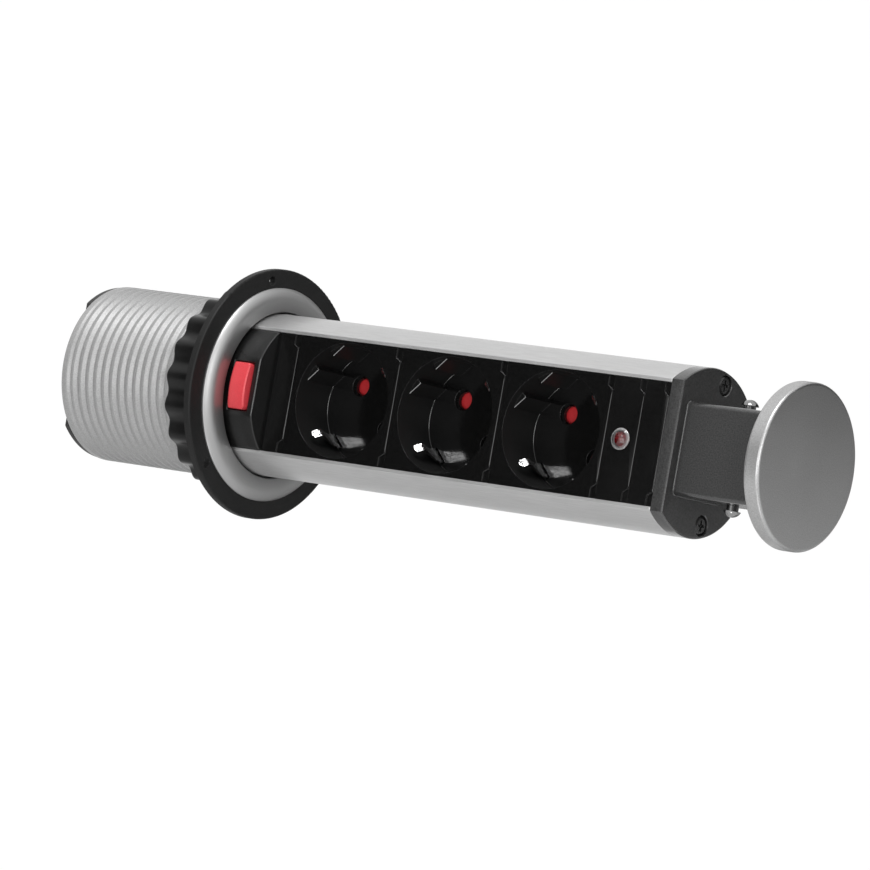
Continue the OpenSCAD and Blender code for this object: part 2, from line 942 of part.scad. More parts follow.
module socket_body(k) {
  base_z = socket_z(k) - socket_h / 2;
  color(gloss_black)
    difference() {
      union() {
        stack_piece(base_z, socket_h, body_back);
        box(
          [-chamber_half, body_back - eps, base_z],
          [chamber_half, back_y, base_z + socket_h - seam]
        );
      }
      at_socket(k) {
        socket_well();
        // Chamber behind the floor, round the shutter's pivot
        difference() {
          along_y(floor_back_y, back_y + eps, chamber_r);
          along_y(floor_back_y - eps, strap_y - run, pivot_d / 2);
        }
      }
      // Groove for the earth bar
      box(
        [-earth_bar_w / 2 - slip, bar_y - slip, base_z - eps],
        [earth_bar_w / 2 + slip, back_y + eps, base_z + socket_h + eps]
      );
    }
}

module shutter(k) {
  pivot_r = pivot_d / 2;
  back = shutter_y + shutter_t;
  color(red_plastic)
    at_socket(k)
      difference() {
        union() {
          along_y(shutter_y, back, 2 * pivot_r);
          both_sides()
            translate([pin_r, 0, 0])
              along_y(shutter_y, back, pin_hole_d / 2 + shutter_lap);
          box([-pin_r, shutter_y, -pivot_r], [pin_r, back, pivot_r]);
        }
        along_y(shutter_y - eps, back + eps, pivot_r + slip);
      }
}

// Side view of one half of an earth clip: its leg, the contact bulge and the flared tip
bulge_r = leg_r - clip_bulge;
tip_r = bulge_r + clip_flare;
clip_half = [
  [leg_r, bar_y], [leg_r, floor_y - bulge_h / 3], [bulge_r, floor_y - bulge_h], [tip_r, floor_y - clip_h],
  [tip_r - clip_t, floor_y - clip_h], [bulge_r - clip_t, floor_y - bulge_h],
  [leg_r - clip_t, floor_y - bulge_h / 3], [leg_r - clip_t, strap_y]
];

// Front view of a clip's leg, which tapers from the floor to the bulge
module clip_taper() {
  polygon([
    [-clip_w / 2, bar_y], [clip_w / 2, bar_y], [clip_w / 2, floor_y],
    [clip_tip_w / 2, floor_y - bulge_h], [clip_tip_w / 2, floor_y - clip_h],
    [-clip_tip_w / 2, floor_y - clip_h], [-clip_tip_w / 2, floor_y - bulge_h], [-clip_w / 2, floor_y]
  ]);
}

module earth_clip(k) {
  count = len(clip_half);
  color(steel)
    at_socket(k)
      intersection() {
        rotate([0, -90, 0])
          translate([0, 0, -clip_w / 2])
            linear_extrude(height = clip_w)
              polygon([
                each clip_half,
                for (i = [1 : count])
                  [-clip_half[count - i].x, clip_half[count - i].y]
              ]);
        translate([0, 0, -well_r])
          linear_extrude(height = 2 * well_r)
            clip_taper();
      }
}

module socket_back(k) {
  color(black_plastic)
    difference() {
      union() {
        box(
          [-chamber_half, back_y, socket_z(k) - back_half_h],
          [chamber_half, back_y + back_t, socket_z(k) + back_half_h]
        );
        at_socket(k)
          both_sides()
            translate([pin_r, 0, 0])
              along_y(back_y + eps, rail_y - run, holder_r);
      }
      at_socket(k)
        both_sides()
          translate([pin_r, 0, 0])
            along_y(back_y - eps, rail_y, sleeve_r + slip);
    }
}

// Bar with a sleeve behind one pin hole of each socket, on side s
module pin_bar(s) {
  color(brass)
    difference() {
      union() {
        box(
          [s * pin_x - rail_w / 2, rail_y, socket_z(1) + s * pin_z - tab_len],
          [s * pin_x + rail_w / 2, rail_y + bar_t, socket_z(3) + s * pin_z + rail_w]
        );
        for (k = [1 : 3])
          translate([s * pin_x, 0, socket_z(k) + s * pin_z])
            along_y(back_y + slip, rail_y + eps, sleeve_r);
      }
      for (k = [1 : 3])
        translate([s * pin_x, 0, socket_z(k) + s * pin_z])
          along_y(back_y, rail_y + bar_t + eps, sleeve_r - sleeve_wall);
    }
}

module line_bar() {
  pin_bar(-1);
}

module neutral_bar() {
  pin_bar(1);
}

module earth_bar() {
  color(brass)
    box(
      [-earth_bar_w / 2, bar_y, first_socket_z - tab_len],
      [earth_bar_w / 2, bar_y + bar_t, socket_z(3) + back_half_h]
    );
}

// Foot of the column

module bottom_cap() {
  stop_r = bore_r + stop_lap;
  color(black_plastic)
    difference() {
      union() {
        intersection() {
          translate([0, 0, col_z - bottom_t])
            cylinder(r = stop_r, h = bottom_t);
          box([-stop_r, front_y - stop_front, col_z - bottom_t], [stop_r, stop_r, col_z]);
          for (s = [-1, 1])
            rotate(s * stop_turn)
              box([-2 * stop_r, -bore_r - stop_side, col_z - bottom_t], [2 * stop_r, 2 * stop_r, col_z]);
        }
        // Spigot inside the profile, clear of the screw channels and the key groove
        intersection() {
          translate([0, 0, col_z - eps])
            difference() {
              cylinder(r = inner_r - slip, h = spigot_h);
              cylinder(r = inner_r - slip - spigot_t, h = spigot_h + eps);
            }
          box(
            [-chamber_half, front_y + spigot_t, col_z - eps],
            [chamber_half, groove_floor - col_wall - slip, col_z + spigot_h]
          );
        }
      }
      at_end_screws()
        translate([0, 0, col_z - bottom_t - eps])
          cylinder(r = core_r + slip, h = bottom_t + 2 * eps);
      translate([0, 0, col_z - bottom_t - eps])
        cylinder(r = bush_r + slip, h = bottom_t + 2 * eps);
    }
}

module bottom_screws() {
  color(gloss_black)
    at_end_screws()
      translate([0, 0, col_z - bottom_t])
        mirror([0, 0, 1])
          pan_screw(bottom_t + screw_len);
}

module cord_inlet() {
  lip = inlet_wall / 2;
  snap = inlet_wall / 4;
  color(black_plastic)
    translate([0, 0, col_z - bottom_t])
      difference() {
        union() {
          translate([0, 0, -inlet_h])
            cylinder(r1 = bush_r + lip / 2, r2 = bush_r + lip, h = inlet_h);
          cylinder(r = bush_r, h = bottom_t + lip);
          translate([0, 0, bottom_t])
            cylinder(r1 = bush_r + snap, r2 = bush_r, h = lip);
        }
        translate([0, 0, -inlet_h - eps])
          cylinder(d = inlet_d, h = inlet_h + bottom_t + lip + 2 * eps);
      }
}

threaded_tube();
desk_flange();
rim_ring();
clamp_washer();
clamp_nut();
profile();
end_cap();
end_screws();
pull_disc();
neck_screws();
guide_block();
latch_button();
latch_spring();
latch_back();
lower_spacer();
socket_body(1);  // socket_1
socket_body(2);  // socket_2
socket_body(3);  // socket_3
shutter(1);  // shutter_1
shutter(2);  // shutter_2
shutter(3);  // shutter_3
earth_clip(1);  // earth_clip_1
earth_clip(2);  // earth_clip_2
earth_clip(3);  // earth_clip_3
socket_back(1);  // socket_back_1
socket_back(2);  // socket_back_2
socket_back(3);  // socket_back_3
line_bar();
neutral_bar();
earth_bar();
led_spacer();
led_lens();
indicator_bulb();
upper_spacer();
bottom_cap();
bottom_screws();
cord_inlet();
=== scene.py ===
import json
import math

import bmesh
import bpy
from mathutils import Matrix, Vector


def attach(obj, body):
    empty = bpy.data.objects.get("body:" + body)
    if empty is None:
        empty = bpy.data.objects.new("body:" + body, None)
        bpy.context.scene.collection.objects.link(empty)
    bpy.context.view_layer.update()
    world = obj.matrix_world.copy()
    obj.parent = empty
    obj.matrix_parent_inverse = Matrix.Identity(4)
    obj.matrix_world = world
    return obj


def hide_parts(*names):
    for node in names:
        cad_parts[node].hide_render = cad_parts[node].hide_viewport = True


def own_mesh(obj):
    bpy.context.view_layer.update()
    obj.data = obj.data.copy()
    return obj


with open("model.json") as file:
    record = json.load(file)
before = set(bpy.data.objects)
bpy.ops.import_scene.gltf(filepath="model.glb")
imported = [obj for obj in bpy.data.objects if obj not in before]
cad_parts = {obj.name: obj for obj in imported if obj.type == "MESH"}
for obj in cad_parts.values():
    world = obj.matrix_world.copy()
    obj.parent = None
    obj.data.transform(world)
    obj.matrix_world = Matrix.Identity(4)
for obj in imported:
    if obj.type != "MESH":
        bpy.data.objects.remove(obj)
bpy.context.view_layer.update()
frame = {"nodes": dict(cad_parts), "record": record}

MM = 0.001
RECORD = frame["record"]
BODY_OF = {n: body for body, nodes in RECORD["behaviour"]["bodies"].items() for n in nodes}
SLOT_OF = {part["node"]: part["material_slot"] for part in RECORD["subparts"]}
SOCKETS = (1, 2, 3)

# Sizes in millimetres, the same as in the part's source
TUBE_R = 29.753
BORE_R = 27.803
TUBE_LEN = 65.3
COLLAR_R = 31.503
COLLAR_T = 1.2
FLANGE_T = 2.5
RIM_R = 35.703
RIM_LOW = 2.5
RIM_TOP = 5.1
RIM_EDGE_W = 4.0
RIM_EDGE_H = 2.1
THREAD_PITCH = 3.5
THREAD_DEPTH = 0.9
KEY_W = 6.0
KEY_Y = 25.603
KEY_TOP = -0.8
NUT_R = 33.603
NUT_LOBES = 20
LOBE_DEPTH = 1.8
NUT_BORE_R = 30.053
NUT_LOW = -16.0
NUT_HIGH = -2.6
DISC_Z = 214.2
FRONT_Y = -17.25
FIRST_SOCKET_Z = 46.3
SOCKET_PITCH = 43.0
WELL_R = 19.1
WELL_FLOOR_Y = -0.25
RIB_TOP_Y = -14.05
CLIP_T = 0.8
CLIP_W = 5.8
LAMP_Z = 159.8
LENS_R = 3.5
LENS_DOME = 1.4
LENS_FLANGE_R = 4.5
LENS_BACK_Y = -9.0
LENS_FLANGE_Y = -10.9
SPRING_R = 2.9
WIRE_R = 0.4
SPRING_TURNS = 6
BUTTON_MID_Z = 9.35

# Sizes in millimetres of the detail that only this script has
THREAD_LOW = -63.0
THREAD_HIGH = -3.0
THREAD_RUN_OUT = 2.0
TUBE_EDGE = 0.5
TUBE_LIP = 0.25
KEY_ROOT = 0.5
RIM_LEAD = 0.35
NUT_EDGE = 0.8
NUT_LEAD = 0.4
CLIP_TIP_W = 2.6
CLIP_CROWN = 0.25
CLIP_END_R = 0.9
CLIP_SIDE_FALL = 0.12
LENS_CLEAR_R = 2.5
LENS_MILK_W = 0.7
BULB_R = 2.3
BULB_TIP_Y = -18.0
BULB_BACK_Y = -6.5
SPRING_FRONT_Y = -17.0
SPRING_BACK_Y = -9.5
SEAM_EDGE = 0.25
RIB_EDGE = 0.2
FLOOR_EDGE = 0.18
FRONT_PIECE_EDGE = 0.05
TONGUE_EDGE = 0.2
HOLE_EDGE = 0.15
# Radii between which the flange's screw holes lie
HOLE_RING = (36.5, 42.5)


# Node helpers for the materials

# The part of a noise's range that a material uses
NOISE_SPAN = (0.3, 0.7)
NOISE_ROUGHNESS = 0.55
# Width in millimetres of the faint blotches in a gloss
BLOTCH = 14.0
# Parts of a surface normal's range over which one finish changes into another
FRONT_SPAN = (-0.6, -0.3)
SIDE_SPAN = (0.3, 0.6)


def start_material(name, sockets):
    """A new material and its shader, with the even values set on the shader itself."""
    material = bpy.data.materials.new(name)
    material.use_nodes = True
    shader = material.node_tree.nodes["Principled BSDF"]
    for socket, value in sockets.items():
        shader.inputs[socket].default_value = value
    return material, material.node_tree, shader


def noise(tree, size, detail, stretch=(1.0, 1.0, 1.0)):
    """Noise in the object's own space, with blotches about size millimetres wide."""
    coords = tree.nodes.new("ShaderNodeTexCoord")
    mapping = tree.nodes.new("ShaderNodeMapping")
    mapping.inputs["Scale"].default_value = stretch
    texture = tree.nodes.new("ShaderNodeTexNoise")
    texture.inputs["Scale"].default_value = 1.0 / (size * MM)
    texture.inputs["Detail"].default_value = detail
    texture.inputs["Roughness"].default_value = NOISE_ROUGHNESS
    tree.links.new(coords.outputs["Object"], mapping.inputs["Vector"])
    tree.links.new(mapping.outputs["Vector"], texture.inputs["Vector"])
    return texture.outputs["Fac"]


def spread(tree, value, span, low, high):
    """A value that goes from low to high while another one crosses a span."""
    node = tree.nodes.new("ShaderNodeMapRange")
    node.inputs["From Min"].default_value = span[0]
    node.inputs["From Max"].default_value = span[1]
    node.inputs["To Min"].default_value = low
    node.inputs["To Max"].default_value = high
    tree.links.new(value, node.inputs["Value"])
    return node.outputs["Result"]


def vary(tree, value, target, low, high):
    """Drives one shader value between low and high by a noise."""
    tree.links.new(spread(tree, value, NOISE_SPAN, low, high), target)


def tint(tree, value, target, dark, light):
    """Drives a shader colour between two colours."""
    ramp = tree.nodes.new("ShaderNodeValToRGB")
    for element, position, color in zip(ramp.color_ramp.elements, NOISE_SPAN, (dark, light)):
        element.position = position
        element.color = (*color, 1.0)
    tree.links.new(value, ramp.inputs["Fac"])
    tree.links.new(ramp.outputs["Color"], target)


def by_facing(tree, axis, span, target, low, high):
    """Drives one shader value by the way that the surface looks along an axis."""
    coords = tree.nodes.new("ShaderNodeTexCoord")
    split = tree.nodes.new("ShaderNodeSeparateXYZ")
    tree.links.new(coords.outputs["Normal"], split.inputs["Vector"])
    facing = split.outputs[axis]
    if axis == "X":
        # Left and right are alike
        either = tree.nodes.new("ShaderNodeMath")
        either.operation = "ABSOLUTE"
        tree.links.new(facing, either.inputs[0])
        facing = either.outputs[0]
    tree.links.new(spread(tree, facing, span, low, high), target)


def bump(tree, shader, *heights):
    """Adds a chain of bumps to a shader, each as (noise, height in millimetres)."""
    normal = None
    for value, height in heights:
        node = tree.nodes.new("ShaderNodeBump")
        node.inputs["Strength"].default_value = 1.0
        node.inputs["Distance"].default_value = height * MM
        tree.links.new(value, node.inputs["Height"])
        if normal:
            tree.links.new(normal, node.inputs["Normal"])
        normal = node.outputs["Normal"]
    tree.links.new(normal, shader.inputs["Normal"])


def from_axis(tree, height, flatten_by):
    """Distance in metres from an axis through a height, along the axis that is flattened."""
    coords = tree.nodes.new("ShaderNodeTexCoord")
    flatten = tree.nodes.new("ShaderNodeMapping")
    flatten.inputs["Location"].default_value = (0.0, 0.0, -height * MM)
    flatten.inputs["Scale"].default_value = flatten_by
    length = tree.nodes.new("ShaderNodeVectorMath")
    length.operation = "LENGTH"
    tree.links.new(coords.outputs["Object"], flatten.inputs["Vector"])
    tree.links.new(flatten.outputs["Vector"], length.inputs[0])
    return length.outputs["Value"]


# Kinds of material, with grain in millimetres

def grained(name, dark, light, rough, grain, height, sockets):
    """Moulded or painted surface: even grain, and faint blotches in its gloss."""
    material, tree, shader = start_material(name, sockets)
    fine = noise(tree, grain, 2.0)
    wide = noise(tree, BLOTCH, 4.0)
    tint(tree, fine, shader.inputs["Base Color"], dark, light)
    vary(tree, wide, shader.inputs["Roughness"], *rough)
    bump(tree, shader, (fine, height), (wide, 0.3 * height))
    return material


def well_plastic(name, dark, light, rough, grain, height, sockets):
    """Moulded black, polished where it faces the front and satin on the walls of the well."""
    material, tree, shader = start_material(name, sockets)
    fine = noise(tree, grain, 2.0)
    tint(tree, fine, shader.inputs["Base Color"], dark, light)
    bump(tree, shader, (fine, height))
    by_facing(tree, "Y", FRONT_SPAN, shader.inputs["Roughness"], *rough)
    return material


def cap_plastic(name, dark, light, rough, ior, grain, height, sockets):
    """Moulded black with grain, smooth and shiny on the faces that look sideways."""
    material, tree, shader = start_material(name, sockets)
    fine = noise(tree, grain, 2.0)
    tint(tree, fine, shader.inputs["Base Color"], dark, light)
    bump(tree, shader, (fine, height))
    by_facing(tree, "X", SIDE_SPAN, shader.inputs["Roughness"], *rough)
    by_facing(tree, "X", SIDE_SPAN, shader.inputs["IOR"], *ior)
    return material


def brushed(name, dark, light, rough, stretch, height, sockets):
    """Metal with fine lines along one axis."""
    material, tree, shader = start_material(name, sockets)
    lines = noise(tree, 0.16, 3.0, stretch)
    wide = noise(tree, 22.0, 3.0)
    tint(tree, lines, shader.inputs["Base Color"], dark, light)
    vary(tree, wide, shader.inputs["Roughness"], *rough)
    bump(tree, shader, (lines, height))
    return material


def turned_with_painted_shade(name, inner, outer, rough, grain, height, sockets):
    """Turned and blasted metal of the rim ring, with painted shade that darkens its colour towards
    its bore.
    """
    material, tree, shader = start_material(name, sockets)
    fine = noise(tree, grain, 2.0)
    wide = noise(tree, BLOTCH, 4.0)
    flat = (BORE_R * MM, (RIM_R - RIM_EDGE_W) * MM)
    # Painted shade: the colour goes from the inner colour at the bore to the outer colour where
    # the edge starts to round
    bore_shade_tone = spread(tree, from_axis(tree, 0.0, (1.0, 1.0, 0.0)), flat, *NOISE_SPAN)
    tint(tree, bore_shade_tone, shader.inputs["Base Color"], inner, outer)
    vary(tree, wide, shader.inputs["Roughness"], *rough)
    bump(tree, shader, (fine, height), (wide, height / 3))
    return material


def clear_plastic(name, color, sockets, clear_radius=None):
    """See-through plastic with a slightly uneven skin, milky outside the clear radius."""
    material, tree, shader = start_material(name, sockets)
    shader.inputs["Base Color"].default_value = (*color, 1.0)
    skin = noise(tree, 1.6, 2.0)
    vary(tree, skin, shader.inputs["Roughness"], 0.02, 0.07)
    bump(tree, shader, (skin, 0.0003))
    if clear_radius:
        rim = (clear_radius * MM, (clear_radius + LENS_MILK_W) * MM)
        milk = spread(tree, from_axis(tree, LAMP_Z, (1.0, 0.0, 1.0)), rim, 1.0, 0.72)
        tree.links.new(milk, shader.inputs["Transmission Weight"])
    return material


def grey(level):
    return (level, level, level)


# Materials of the record's slots

ALONG_X = (0.05, 1.0, 1.0)
ALONG_Z = (1.0, 1.0, 0.02)
MATERIALS = {
    "silver_plastic": grained(
        "silver_paint", grey(0.30), grey(0.42), (0.44, 0.52), 0.34, 0.012,
        {"Metallic": 0.6, "Specular IOR Level": 0.5}),
    "silver_metal": grained(
        "blasted_metal", grey(0.36), grey(0.52), (0.34, 0.42), 0.34, 0.014,
        {"Metallic": 1.0}),
    "black_matte": grained(
        "matte_black", grey(0.010), grey(0.022), (0.50, 0.60), 0.40, 0.016,
        {"Specular IOR Level": 0.5}),
    "black_gloss": grained(
        "gloss_black", grey(0.003), grey(0.006), (0.15, 0.20), 0.9, 0.002,
        {"Specular IOR Level": 0.5}),
    "rubber_black": grained(
        "rubber", grey(0.010), grey(0.018), (0.6, 0.75), 0.35, 0.015,
        {"Specular IOR Level": 0.25}),
    "aluminium": brushed(
        "anodised_aluminium", grey(0.46), grey(0.57), (0.40, 0.48), ALONG_Z, 0.003,
        {"Metallic": 0.9}),
    "black_screw": grained(
        "black_oxide", grey(0.012), grey(0.024), (0.20, 0.28), 0.25, 0.004,
        {"Specular IOR Level": 0.6}),
    "bright_screw": grained(
        "polished_steel", grey(0.24), grey(0.32), (0.10, 0.16), 0.3, 0.002,
        {"Metallic": 1.0}),
    "red_plastic": grained(
        "red_button", (0.64, 0.048, 0.060), (0.72, 0.060, 0.074), (0.30, 0.38), 0.5, 0.010,
        {"Specular IOR Level": 0.5}),
    "shutter_red": grained(
        "red_shutter", (0.56, 0.022, 0.028), (0.64, 0.030, 0.036), (0.24, 0.32), 0.5, 0.004,
        {"Specular IOR Level": 0.5}),
    "spring_steel": brushed(
        "bright_spring_steel", grey(0.70), grey(0.82), (0.16, 0.26), ALONG_X, 0.004,
        {"Metallic": 1.0}),
    "brass": brushed(
        "brass", (0.60, 0.42, 0.16), (0.70, 0.50, 0.21), (0.22, 0.32), ALONG_Z, 0.003,
        {"Metallic": 1.0}),
    "clear_lens": clear_plastic(
        "clear_lens", grey(0.90), {"Transmission Weight": 1.0, "IOR": 1.49}, LENS_CLEAR_R),
    "red_lamp": clear_plastic(
        "red_lamp", (0.16, 0.002, 0.004), {"Transmission Weight": 0.2, "IOR": 1.49}),
}
# Pieces whose finish differs from the rest of their slot
NODE_MATERIALS = {
    # The rim ring's colour is painted darker towards its bore as shade
    "rim_ring": turned_with_painted_shade(
        "turned_ring", grey(0.24), grey(0.38), (0.42, 0.48), 0.30, 0.012,
        {"Metallic": 1.0}),
    "desk_flange": grained(
        "flange_black", grey(0.005), grey(0.010), (0.48, 0.58), 0.40, 0.012,
        {"Specular IOR Level": 0.25}),
    "clamp_nut": grained(
        "nut_black", grey(0.003), grey(0.006), (0.28, 0.36), 0.60, 0.006,
        {"Specular IOR Level": 0.2}),
    "end_cap": cap_plastic(
        "grained_black", grey(0.016), grey(0.052), (0.32, 0.14), (1.5, 1.8), 0.45, 0.008,
        {"Specular IOR Level": 0.5}),
    "guide_block": grained(
        "satin_black", grey(0.004), grey(0.010), (0.26, 0.34), 0.45, 0.008,
        {"Specular IOR Level": 0.5}),
}
PRESSED_STEEL = grained(
    "pressed_steel", grey(0.62), grey(0.78), (0.12, 0.20), 0.9, 0.24, {"Metallic": 1.0})
SOCKET_BLACK = well_plastic(
    "socket_black", grey(0.003), grey(0.006), (0.13, 0.45), 0.9, 0.002,
    {"Specular IOR Level": 0.5})
for k in SOCKETS:
    NODE_MATERIALS[f"earth_clip_{k}"] = PRESSED_STEEL
    NODE_MATERIALS[f"socket_{k}"] = SOCKET_BLACK


# Mesh helpers

SHARP_EDGE = math.radians(30.0)
# Distances in metres within which points are one, or lie on the same plane
MERGE = 1e-6
ON_PLANE = 1e-5


def add_piece(name, mesh, node, smooth_angle=35.0):
    """Puts a mesh in the scene as the piece that stands for one CAD node."""
    mesh.materials.clear()
    mesh.materials.append(NODE_MATERIALS.get(node, MATERIALS[SLOT_OF[node]]))
    mesh.polygons.foreach_set("use_smooth", [True] * len(mesh.polygons))
    mesh.set_sharp_from_angle(angle=math.radians(smooth_angle))
    piece = bpy.data.objects.new(name, mesh)
    bpy.context.scene.collection.objects.link(piece)
    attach(piece, BODY_OF[node])
    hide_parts(node)
    return piece


def to_mesh(bm, name):
    """Cleans a bmesh whose sizes are in millimetres and turns it into a mesh in metres."""
    bmesh.ops.remove_doubles(bm, verts=bm.verts, dist=MERGE / MM)
    bmesh.ops.dissolve_degenerate(bm, edges=bm.edges, dist=MERGE / MM)
    bmesh.ops.recalc_face_normals(bm, faces=bm.faces)
    bmesh.ops.scale(bm, verts=bm.verts, vec=(MM, MM, MM))
    mesh = bpy.data.meshes.new(name)
    bm.to_mesh(mesh)
    bm.free()
    return mesh


def arc(centre, radius, start, end, steps):
    """Points of an arc in a section, with angles in degrees."""
    points = []
    for i in range(steps + 1):
        a = math.radians(start + (end - start) * i / steps)
        points.append((centre[0] + radius * math.cos(a), centre[1] + radius * math.sin(a)))
    return points


def add_rows(bm, rows, close_rows=False):
    """Joins rows of points, each closed on itself, into a skin."""
    verts = [[bm.verts.new(p) for p in row] for row in rows]
    pairs = list(zip(verts, verts[1:]))
    if close_rows:
        pairs.append((verts[-1], verts[0]))
    for low, high in pairs:
        count = len(low)
        for j in range(count):
            k = (j + 1) % count
            bm.faces.new((low[j], low[k], high[k], high[j]))
    return verts


def capped(rows):
    """Skin of rows of points, with a face over the first row and over the last."""
    bm = bmesh.new()
    verts = add_rows(bm, rows)
    bm.faces.new(verts[0])
    bm.faces.new(verts[-1])
    return bm


def ring(radius, z, count, start=0.0):
    """Points of a level circle."""
    step = 2 * math.pi / count
    return [(radius * math.cos(start + j * step), radius * math.sin(start + j * step), z)
            for j in range(count)]


# Threaded tube

TUBE_SIDES = 180
# One turn of the thread as (share of the pitch, share of the depth), with small round corners
THREAD_TURN = (
    (0.000, 0.00), (0.100, 0.00), (0.125, 0.03), (0.150, 0.12), (0.360, 0.88), (0.385, 0.97),
    (0.410, 1.00), (0.590, 1.00), (0.615, 0.97), (0.640, 0.88), (0.850, 0.12), (0.875, 0.03),
    (0.900, 0.00),
)
THREAD_STEPS = len(THREAD_TURN)


def thread_point(row, angle):
    """Point of one row of the thread's skin, which climbs with the angle."""
    turn, step = divmod(row, THREAD_STEPS)
    share, depth = THREAD_TURN[step]
    z = THREAD_LOW + THREAD_PITCH * (turn - 1 + share + angle / (2 * math.pi))
    z = min(max(z, THREAD_LOW), THREAD_HIGH)
    run_out = min((z - THREAD_LOW) / THREAD_RUN_OUT, (THREAD_HIGH - z) / THREAD_RUN_OUT, 1.0)
    r = TUBE_R - THREAD_DEPTH * run_out * depth
    return (r * math.cos(angle), r * math.sin(angle), z)


def add_thread(bm):
    """Outer skin of the tube along its thread."""
    step = 2 * math.pi / TUBE_SIDES
    turns = math.ceil((THREAD_HIGH - THREAD_LOW) / THREAD_PITCH) + 2
    count = turns * THREAD_STEPS
    rows = [
        [bm.verts.new(thread_point(i, j * step)) for j in range(TUBE_SIDES)]
        for i in range(count)
    ]
    for i in range(count - 1):
        for j in range(TUBE_SIDES - 1):
            bm.faces.new((rows[i][j], rows[i][j + 1], rows[i + 1][j + 1], rows[i + 1][j]))
        # The last strip joins the next turn of the helix
        if i + THREAD_STEPS + 1 < count:
            up = i + THREAD_STEPS
            bm.faces.new((rows[i][-1], rows[up][0], rows[up + 1][0], rows[i + 1][-1]))


def add_tube_ends(bm):
    """The rest of the tube's skin: its lower end, bore and collar."""
    low = TUBE_EDGE - TUBE_LEN
    section = [(TUBE_R, THREAD_LOW), (TUBE_R, low)]
    section += arc((TUBE_R - TUBE_EDGE, low), TUBE_EDGE, 0, -90, 5)
    section += arc((BORE_R + TUBE_EDGE, low), TUBE_EDGE, -90, -180, 5)
    section += [(BORE_R, FLANGE_T - TUBE_LIP), (BORE_R + TUBE_LIP, FLANGE_T)]
    section += [(COLLAR_R - TUBE_LIP, FLANGE_T), (COLLAR_R, FLANGE_T - TUBE_LIP)]
    section += [(COLLAR_R, FLANGE_T - COLLAR_T), (TUBE_R, FLANGE_T - COLLAR_T)]
    section += [(TUBE_R, THREAD_HIGH)]
    add_rows(bm, [ring(r, z, TUBE_SIDES) for r, z in section])


def add_box(bm, low, high):
    """Closed box between two corners."""
    made = bmesh.ops.create_cube(bm, size=1.0)["verts"]
    for v in made:
        v.co = [low[i] if v.co[i] < 0 else high[i] for i in range(3)]


def build_tube():
    """Tube with its thread, and the key rib in its bore."""
    bm = bmesh.new()
    add_thread(bm)
    add_tube_ends(bm)
    add_box(bm, (-KEY_W / 2, KEY_Y, -TUBE_LEN), (KEY_W / 2, BORE_R + KEY_ROOT, KEY_TOP))
    add_piece("tube_with_thread", to_mesh(bm, "tube_with_thread"), "threaded_tube", 50.0)


# Rim ring and nut

RIM_SIDES = 192
LOBE_POINTS = 18


def build_rim_ring():
    """Turned ring with the long rounded fall of its outer edge and a small lead at its bore."""
    radius = (RIM_EDGE_W ** 2 + RIM_EDGE_H ** 2) / (2 * RIM_EDGE_H)
    start = math.degrees(math.acos(1 - RIM_EDGE_H / radius))
    section = [(BORE_R, RIM_LOW), (RIM_R, RIM_LOW)]
    section += arc((RIM_R - RIM_EDGE_W, RIM_TOP - radius), radius, 90 - start, 90, 14)
    section += arc((BORE_R + RIM_LEAD, RIM_TOP - RIM_LEAD), RIM_LEAD, 90, 180, 6)
    bm = bmesh.new()
    add_rows(bm, [ring(r, z, RIM_SIDES) for r, z in section], True)
    add_piece("rim_ring_turned", to_mesh(bm, "rim_ring"), "rim_ring")


def lobed_ring(inset, z, count):
    """Points of the nut's outline, drawn in by the inset."""
    points = []
    for j in range(count):
        a = 2 * math.pi * j / count
        r = NUT_R - LOBE_DEPTH / 2 * (1 - math.cos(NUT_LOBES * a)) - inset
        points.append((r * math.sin(a), -r * math.cos(a), z))
    return points


def build_nut():
    """Lobed nut with round outer edges and a lead at both ends of its bore."""
    count = NUT_LOBES * LOBE_POINTS
    edge = arc((0.0, NUT_LOW + NUT_EDGE), NUT_EDGE, -90, 0, 5)
    edge += arc((0.0, NUT_HIGH - NUT_EDGE), NUT_EDGE, 0, 90, 5)
    rows = [lobed_ring(NUT_EDGE - x, z, count) for x, z in edge]
    bore = [(NUT_BORE_R + NUT_LEAD, NUT_HIGH), (NUT_BORE_R, NUT_HIGH - NUT_LEAD),
            (NUT_BORE_R, NUT_LOW + NUT_LEAD), (NUT_BORE_R + NUT_LEAD, NUT_LOW)]
    rows += [ring(r, z, count, -math.pi / 2) for r, z in bore]
    bm = bmesh.new()
    add_rows(bm, rows, True)
    add_piece("clamp_nut_lobed", to_mesh(bm, "clamp_nut"), "clamp_nut")


# Lens and lamp

LAMP_SIDES = 96


def turned_along_y(section, name, node):
    """Piece turned round the lamp's axis from a section of (radius, depth) points."""
    step = 2 * math.pi / LAMP_SIDES
    rows = [[(r * math.cos(j * step), y, LAMP_Z + r * math.sin(j * step))
             for j in range(LAMP_SIDES)] for r, y in section]
    add_piece(name, to_mesh(capped(rows), name), node)


def build_lens():
    """Solid lens with a smooth dome, as clear plastic poured round the lamp looks."""
    dome_r = (LENS_R ** 2 + LENS_DOME ** 2) / (2 * LENS_DOME)
    reach = math.degrees(math.asin(LENS_R / dome_r))
    section = [(LENS_FLANGE_R, LENS_BACK_Y), (LENS_FLANGE_R, LENS_FLANGE_Y)]
    section += [(LENS_R, LENS_FLANGE_Y), (LENS_R, FRONT_Y)]
    # The arc ends just short of the axis
    section += arc((0.0, FRONT_Y - LENS_DOME + dome_r), dome_r, reach - 90, -89.8, 24)
    turned_along_y(section, "led_lens_domed", "led_lens")


def build_bulb():
    """Round-headed lamp, which reaches into the dome of the lens."""
    section = [(BULB_R, BULB_BACK_Y)]
    # The arc ends just short of the axis
    section += arc((0.0, BULB_TIP_Y + BULB_R), BULB_R, 0, -89.5, 18)
    turned_along_y(section, "indicator_bulb_round", "indicator_bulb")


# Earth clips

